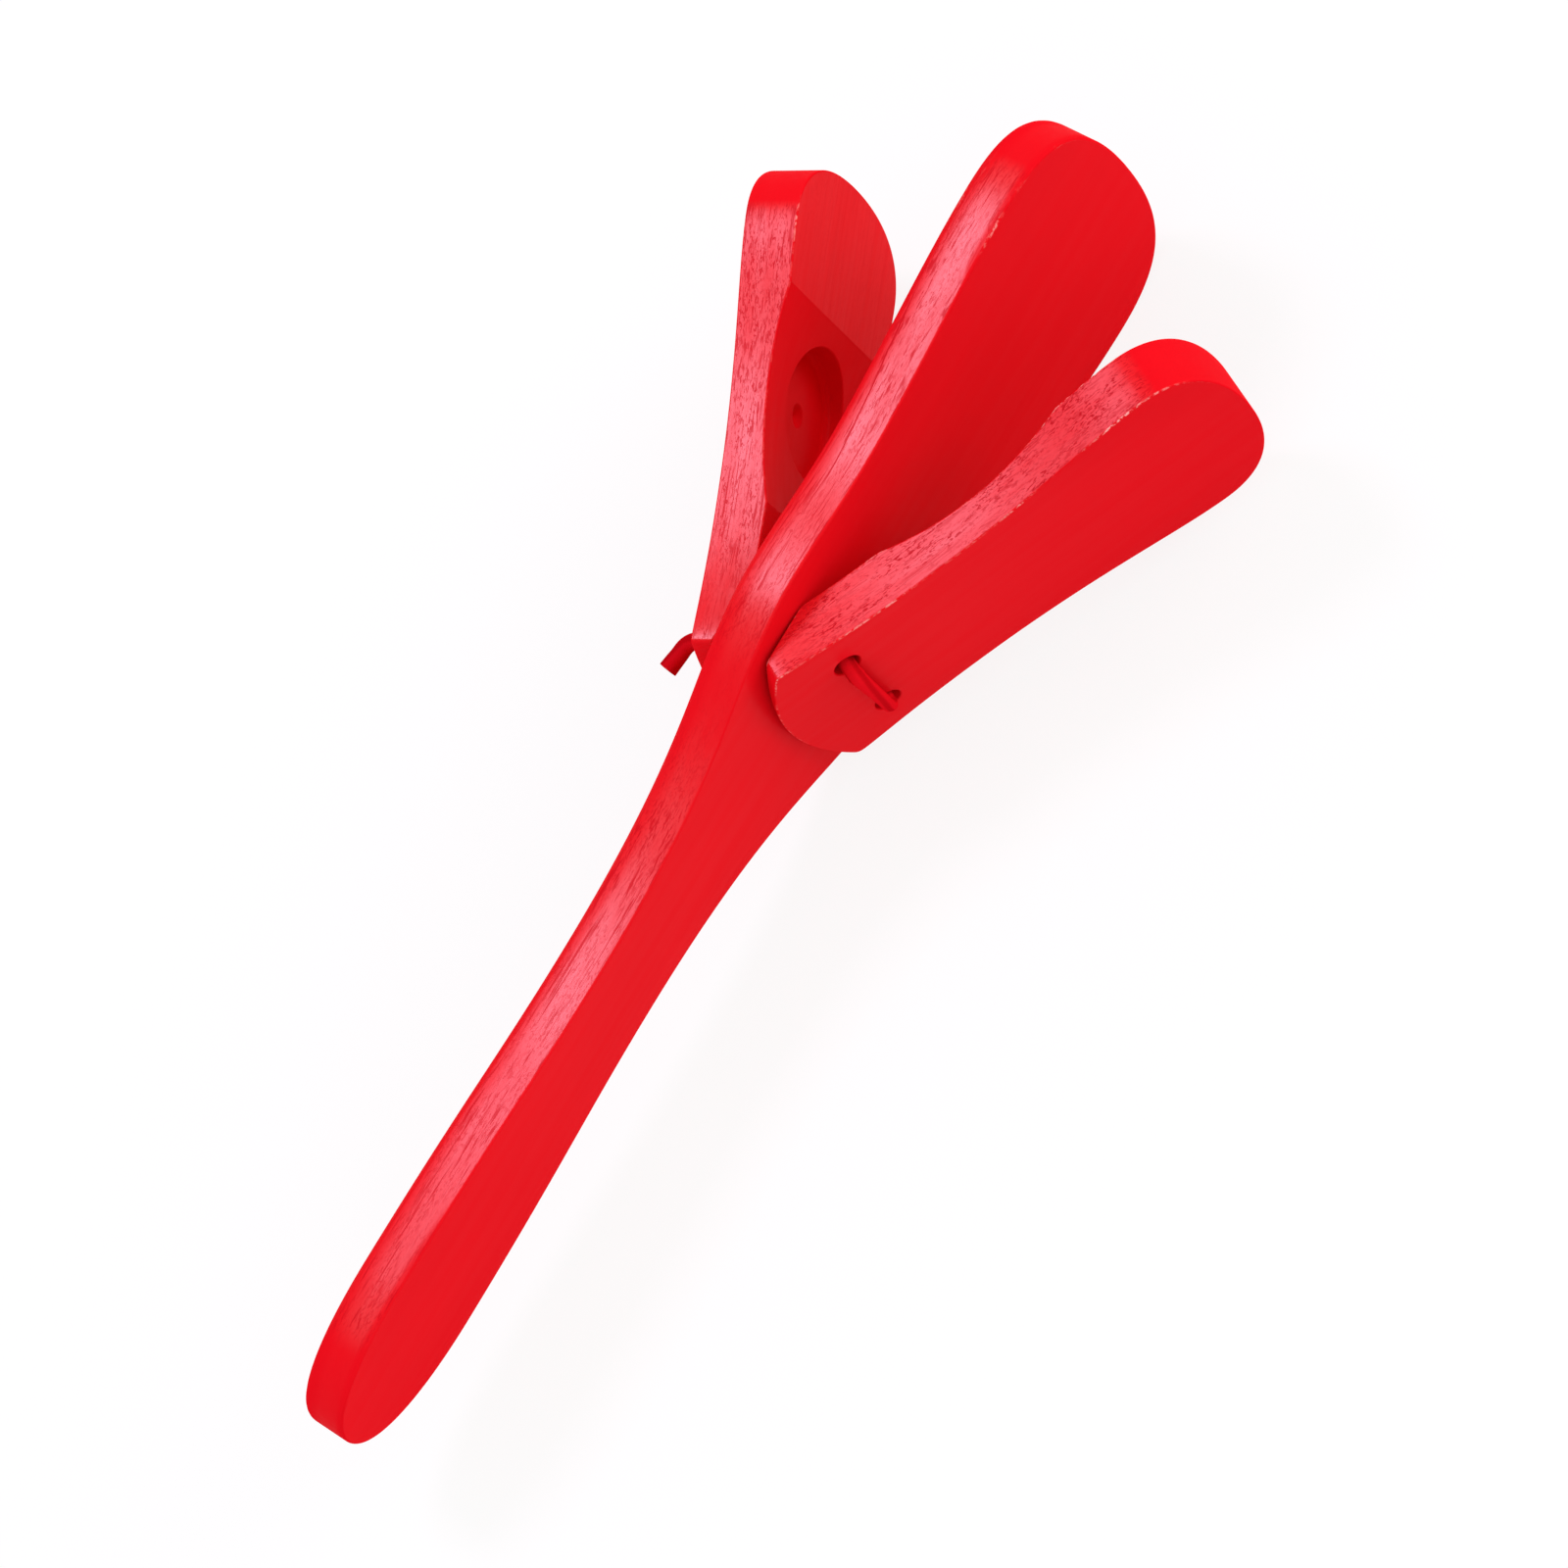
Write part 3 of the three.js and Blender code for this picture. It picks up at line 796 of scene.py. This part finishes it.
# Writes what the finishes read: edgeBand is 1 on the rim and 0 on the broad sides and in bores, corner
# rises to 1 halfway round a softened edge and more at a spot, which is worn lacquer on a leaf and a
# painted highlight at the paddle's tip, endGrain rises to 1 where the rim crosses the grain, and pad is
# 1 on the clapping pad. Each spot is (x, z, reach).
def markSides(bm, rounded, bores, rubAndHighlightSpots, s, padFrom=None):
    m = markSet
    band, corner, endGrain, pad = [bm.loops.layers.float.new(label) for label in sideMarks]
    backShare, backTo, onwardShare = s["flare"]
    bm.normal_update()
    for face in bm.faces:
        middle = face.calc_center_median()
        inBore = any(math.hypot(middle.x - x, middle.z - z) < radius for x, z, radius in bores)
        onPad = padFrom is not None and face.normal.y > m["padFacing"] and middle.x > padFrom
        for loop in face.loops:
            across = loop.vert.normal
            normal = across if face in rounded else face.normal
            facing = min(1.0, abs(normal.y))
            loop[band] = 0.0 if inBore else 1.0 - facing
            loop[pad] = 1.0 if onPad else 0.0
            if facing < m["broadFacing"]:
                toTip = across.x / max(m["tiny"], math.hypot(across.x, across.z))
                share = backShare if middle.x < backTo else onwardShare
                loop[endGrain] = toTip if toTip > 0 else -share * toTip
            if face in rounded and not inBore:
                lean = math.degrees(math.acos(facing)) / m["cornerLean"]
                alongGrain = max(0.0, 1.0 - m["grainLoss"] * loop[endGrain])
                onCorner = min(1.0, m["cornerGain"] * max(0.0, 1.0 - abs(lean - 1.0)))
                rubAndHighlight = s["rubAll"]
                for x, z, reach in rubAndHighlightSpots:
                    near = 1.0 - math.hypot(loop.vert.co.x - x, loop.vert.co.z - z) / reach
                    rubAndHighlight += m["spotGain"] * max(0.0, near)
                loop[corner] = alongGrain * onCorner * rubAndHighlight


boardSet = {"sharpFrom": 11.0, "flatWeight": 100}


def finishBoard(name, bm, place, material, body, node):
    bmesh.ops.transform(bm, matrix=Matrix.Scale(mm, 4) @ place, verts=bm.verts)
    bmesh.ops.recalc_face_normals(bm, faces=bm.faces)
    mesh = bpy.data.meshes.new(name)
    bm.to_mesh(mesh)
    bm.free()
    shadeSmooth(mesh, boardSet["sharpFrom"])
    mesh.materials.append(material)
    piece = linked(name, mesh)
    flats = piece.modifiers.new("flats", "WEIGHTED_NORMAL")
    flats.keep_sharp = True
    flats.weight = boardSet["flatWeight"]
    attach(piece, body)
    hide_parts(node)


paddleSet = {
    "length": 205.6,
    # (distance from the handle's end, half width, lead, trail)
    "stations": [(22.3, 10.8, 0.5, 0), (72.3, 8.95, 0.62, 0.35), (131.3, 20.6, 0.4, 0.3),
                 (148.3, 19.85, 0.28, 0.4), (189.3, 23.7, 0, 0.3)],
    "endFull": 0.62,
    "tipFull": 0.72,
    "thick": 7.6,
    "steps": 40,
    "rimAngle": 60.0,
    "boreMargin": 0.2,
    "backRound": 1.6,
    "frontRound": 0.4,
    "roundSteps": 6,
    "flare": (1.15, 45.0, 0.70),      # share of end grain where the rim turns back: up to x, x, past it
    "rubAll": 0.0,                    # rub all along the corners, besides the spots
    # a painted highlight along the front corner near the tip, laid on through the corner mask
    "rubAndHighlightSpots": [(193.0, 22.5, 12.0)],
    "look": dict(red, turn=0, shift=(0, 0, 0), lines=0.85, pores=0.60, faceGrain=0.02, wearAndHighlight=0.60,
                 edgeCoat=0.87, soak=(0.11, 0.29),
                 sheen={"back": (0.1, 2.3), "front": (-5.0, -3.2), "frontBlend": 0.9, "least": 0.12,
                        "handle": (-80.0, -50.0), "tip": (68.0, 78.0),
                        "dull": [((-95.0, -62.0), (-50.0, -36.0), 0.38),
                                 ((8.0, 24.0), (32.0, 48.0), 0.18)]},
                 crack={"start": (39.5, 0.15), "slope": 0.0715, "end": 75.0, "wide": 0.15,
                        "fadeIn": 4.0, "fadeOut": 9.0, "above": (30.0, 34.0), "wander": 0.2,
                        "wave": {"scale": (140, 1, 1), "detail": 3.0}}),
}


def makePaddle(s):
    first, last = s["stations"][0], s["stations"][-1]
    tip = endRun(s["length"], last[0], last[1], s["tipFull"])
    runs = [endRun(0, first[0], first[1], s["endFull"])] + sideRuns(s["stations"]) + [tip[::-1]]
    half = runPoints(runs, s["steps"])
    piece = tempObject(prism(half, half, -s["thick"] / 2, s["thick"] / 2))
    holeAt = tieSet["tieAt"] + s["length"] / 2
    for z in holeHeights:
        carve(piece, rod(holeAt, z, holeRadius, -s["thick"], s["thick"], tieSet["holeSides"]))
    bm = unpacked(piece)
    bores = [(holeAt, z, holeRadius + s["boreMargin"]) for z in holeHeights]

    def rim(side):
        return [e for e in bm.edges if e.calc_face_angle(0) > math.radians(s["rimAngle"])
                and all(side * v.co.y > 0 and math.hypot(v.co.x - x, v.co.z - z) > reach
                        for v in e.verts for x, z, reach in bores)]

    rounded = softened(bm, rim(1), s["backRound"], s["roundSteps"])
    rounded |= softened(bm, rim(-1), s["frontRound"], s["roundSteps"])
    markSides(bm, rounded, bores, s["rubAndHighlightSpots"], s)
    place = Matrix.Translation(Vector((-s["length"] / 2, 0, tieSet["rise"])))
    finishBoard("paddleBoard", bm, place, lacquer("paddleLacquer", s["look"]), "paddle", "paddle")


makePaddle(paddleSet)
print("paddle shaped")

# in a leaf's own frame: x from the ridge to the tip, y inwards, z across
leafSet = {
    "length": 77.1,
    "ridgeFromHeel": 12.7,
    "offAxis": 0.2,
    "heelHigh": (4.7, 16.1, 0.5),     # bow, half width and corner of the heel's upper half
    "heelLow": (4.1, 15.9, 0.9),
    "heelLead": 0.12,
    "waistAt": 15.0,
    "waist": (14.5, 0.5, 0.6),        # half width, lead, trail
    "wide": (18.75, 0.22),            # half width, trail
    "tipRun": 10.7,
    "tipFull": 0.64,
    "steps": 32,
    "cornerSteps": 5,
    "thick": 7.5,
    "swell": 0.45,                    # thicker towards the tip by this much
    "spare": 1.0,                     # how far the side view runs past the outline
    "bevel": 28.5,
    "ridgeRound": 3.0,
    "ridgeSteps": 8,
    "land": 12.8,
    "scoopRun": 31.0,
    "scoopDepth": 2.1,
    "hollowAt": 30.9,
    "hollowOff": 1.2,
    "hollowDia": 19.2,
    "hollowDepth": 2.4,
    "hollowRound": 1.2,
    "hollowSteps": 6,
    "hollowSides": 72,
    "hollowWeld": 1e-4,
    "dimpleDia": 3.2,                 # at the hollow's floor
    "dimpleDepth": 1.3,
    "dimpleTip": 0.15,
    "dimpleSides": 32,
    "weld": 1e-3,
    "edge": 0.24,
    "edgeSteps": 4,
    "edgeAngle": 24.0,
    "boreMargin": 0.4,
    "flare": (0.4, 0.0, 0.1),         # as for the paddle
    "rubAll": 1.0,
    "heelSpot": 2.0,                  # reach of the rub at the heel's corner and the tip's bend
    "tipSpot": 8.0,
    "looks": {
        "front": dict(red, turn=25.2, shift=(0.013, 0.02, 0), lines=0.5, pores=1.0, faceGrain=0.02,
                      wearAndHighlight=0.8, grainColor=(0.50, 0.0025, 0.008, 1), edgeCoat=0.56,
                      soak=(0.13, 0.32), tipFade=(56.0, 96.0, 0.64)),
        "rear": dict(red, turn=-25.2, shift=(0.031, -0.02, 0.01), lines=0.9, pores=0.9, faceGrain=0.06,
                     wearAndHighlight=0.2, edgeCoat=0.82, soak=(0.02, 0.20), tipFade=(80.0, 116.0, 0.66)),
    },
}


# half of a leaf seen from its broad side, from the heel round to the tip
def leafOutline(s, heelEnd):
    bow, half, cornerRun = heelEnd
    heelAt = -s["ridgeFromHeel"]
    cornerAt = heelAt + bow
    radius = (half * half + bow * bow) / (2 * bow)
    angle = math.asin(half / radius) - cornerRun / radius
    pull = 4 / 3 * math.tan(angle / 4) * radius    # handles that keep the heel on its arc
    end = (heelAt + radius * (1 - math.cos(angle)), radius * math.sin(angle))
    heel = ((heelAt, 0), (heelAt, pull),
            (end[0] - pull * math.sin(angle), end[1] - pull * math.cos(angle)), end)
    peak, level = (cornerAt, half), (cornerAt + cornerRun, half)
    corner = (end, tuple((e + 2 * p) / 3 for e, p in zip(end, peak)),
              tuple((e + 2 * p) / 3 for e, p in zip(level, peak)), level)
    waistHalf, lead, trail = s["waist"]
    tipAt = heelAt + s["length"]
    wideAt = tipAt - s["tipRun"]
    wideHalf, wideTrail = s["wide"]
    sides = sideRuns([(level[0], half, s["heelLead"], 0), (s["waistAt"], waistHalf, lead, trail),
                      (wideAt, wideHalf, 0, wideTrail)])
    tip = endRun(tipAt, wideAt, wideHalf, s["tipFull"])[::-1]
    points = runPoints([heel], s["steps"]) + runPoints([corner], s["cornerSteps"])[1:]
    return points + runPoints(sides + [tip], s["steps"])[1:]


# side view of a leaf: outer face, then pad, scoop, land and heel bevel
def leafSide(s):
    tipAt = s["length"] - s["ridgeFromHeel"]
    x0, x1 = -s["ridgeFromHeel"] - s["spare"], tipAt + s["spare"]
    outer = [(x, -s["thick"] - s["swell"] * x / tipAt) for x in (x0, x1)]
    radius = (s["scoopRun"] ** 2 / 4 + s["scoopDepth"] ** 2) / (2 * s["scoopDepth"])
    spread = math.asin(s["scoopRun"] / 2 / radius)
    turns = [spread * (1 - 2 * i / s["steps"]) for i in range(s["steps"] + 1)]
    centre = (s["land"] + s["scoopRun"] / 2, radius - s["scoopDepth"])
    scoop = [(centre[0] + radius * math.sin(t), centre[1] - radius * math.cos(t)) for t in turns]
    slope = math.radians(s["bevel"])
    soft = s["ridgeRound"]
    turns = [math.pi / 2 + slope * i / s["ridgeSteps"] for i in range(s["ridgeSteps"] + 1)]
    ridge = [(soft * (math.tan(slope / 2) + math.cos(t)), soft * (math.sin(t) - 1)) for t in turns]
    points = outer + [(x1, 0)] + scoop + ridge + [(x0, x0 * math.tan(slope))]
    reach = 2 * s["wide"][0]
    return slab([(x, y, -reach) for x, y in points], (0, 0, 2 * reach))


def hollowFloor(s):
    return -s["scoopDepth"] - s["hollowDepth"]


# the hollow's profile from its middle out and up, spun round
def hollowCutter(s):
    floor, radius, soft = hollowFloor(s), s["hollowDia"] / 2, s["hollowRound"]
    profile = [(0, floor)]
    for i in range(s["hollowSteps"] + 1):
        angle = math.pi / 2 * i / s["hollowSteps"]
        profile.append((radius - soft * (1 - math.sin(angle)), floor + soft * (1 - math.cos(angle))))
    profile += [(radius, s["thick"]), (0, s["thick"])]
    bm = bmesh.new()
    row = [bm.verts.new((s["hollowAt"] + out, y, s["hollowOff"])) for out, y in profile]
    edges = [bm.edges.new(pair) for pair in zip(row, row[1:])]
    bmesh.ops.spin(bm, geom=row + edges, cent=(s["hollowAt"], 0, s["hollowOff"]), axis=(0, 1, 0),
                   angle=2 * math.pi, steps=s["hollowSides"], use_merge=True)
    bmesh.ops.remove_doubles(bm, verts=bm.verts, dist=s["hollowWeld"])
    bmesh.ops.recalc_face_normals(bm, faces=bm.faces)
    return bm


# the dimple's cone goes on above the floor as far as it goes below it, so its top is twice as wide
def dimpleCutter(s):
    floor, deep = hollowFloor(s), s["dimpleDepth"]
    return rod(s["hollowAt"], s["hollowOff"], s["dimpleDia"], floor - deep, floor + deep,
               s["dimpleSides"], tip=s["dimpleTip"])


def makeLeaf(name, side, look, body, node, s):
    halves = [leafOutline(s, s["heelHigh"]), leafOutline(s, s["heelLow"])]
    upper, lower = halves if side < 0 else halves[::-1]
    blank = prism(upper, lower, -2 * s["thick"], s["thick"])
    bmesh.ops.translate(blank, vec=(0, 0, s["offAxis"]), verts=blank.verts)
    piece = tempObject(blank)
    carve(piece, leafSide(s), "INTERSECT")
    carve(piece, hollowCutter(s))
    carve(piece, dimpleCutter(s))
    for z in holeHeights:
        carve(piece, rod(0, z, holeRadius, -2 * s["thick"], s["thick"], tieSet["holeSides"]))
    bm = unpacked(piece)
    bmesh.ops.remove_doubles(bm, verts=bm.verts, dist=s["weld"])
    bmesh.ops.dissolve_degenerate(bm, edges=bm.edges, dist=s["weld"])
    sharp = [e for e in bm.edges if e.calc_face_angle(0) > math.radians(s["edgeAngle"])]
    bores = [(s["hollowAt"], s["hollowOff"], s["hollowDia"] / 2 + s["boreMargin"])]
    bores += [(0, z, holeRadius + s["boreMargin"]) for z in holeHeights]
    tipBend = s["length"] - s["ridgeFromHeel"] - s["tipRun"]
    rubAndHighlightSpots = [(s["heelHigh"][0] - s["ridgeFromHeel"], -side * s["heelHigh"][1], s["heelSpot"]),
             (tipBend, -side * s["wide"][0], s["tipSpot"])]
    rounded = softened(bm, sharp, s["edge"], s["edgeSteps"])
    markSides(bm, rounded, bores, rubAndHighlightSpots, s, padFrom=s["land"] + s["scoopRun"])
    place = leafPlace(side)
    if side > 0:
        place = place @ Matrix.Rotation(math.pi, 4, "X")
    finishBoard(name, bm, place, lacquer(name + "Lacquer", look), body, node)


makeLeaf("frontLeafBoard", -1, leafSet["looks"]["front"], "front_leaf", "front_leaf", leafSet)
makeLeaf("rearLeafBoard", 1, leafSet["looks"]["rear"], "rear_leaf", "rear_leaf", leafSet)
print("leaves planed, scooped and bored")
